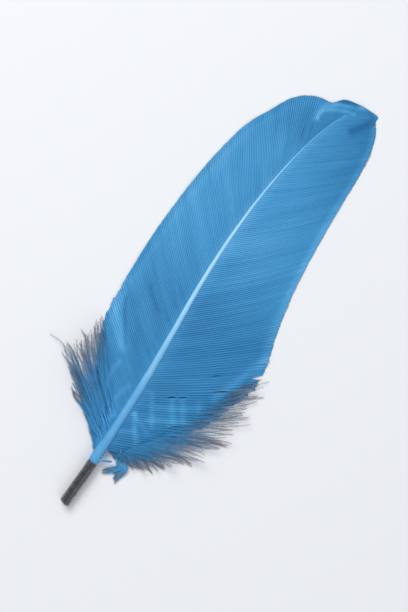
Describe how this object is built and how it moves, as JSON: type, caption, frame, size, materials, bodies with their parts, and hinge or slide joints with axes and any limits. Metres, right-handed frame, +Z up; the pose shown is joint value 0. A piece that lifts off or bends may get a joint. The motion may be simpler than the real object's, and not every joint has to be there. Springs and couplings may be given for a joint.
{
  "type": "dyed goose feather",
  "caption": "Loose blue-dyed goose feather with a curved shaft, two ridged vanes, downy locks at the base and a short cut quill, lying convex side up.",
  "frame": {"origin": "middle of the feather's bounding box in plan, on the surface it lies on", "axes": "+Y along the feather from the cut quill to the tip, +Z up through the convex side, +X to the right as seen from above with the tip away from the viewer"},
  "size_m": [0.0646, 0.1503, 0.0077],
  "materials": {
    "dyed_feather": "matt blue-dyed barbs with a soft sheen, a paler shaft and a smoky clear quill"
  },
  "bodies": {
    "root": {"feather": "dyed_feather"}
  },
  "joints": []
}
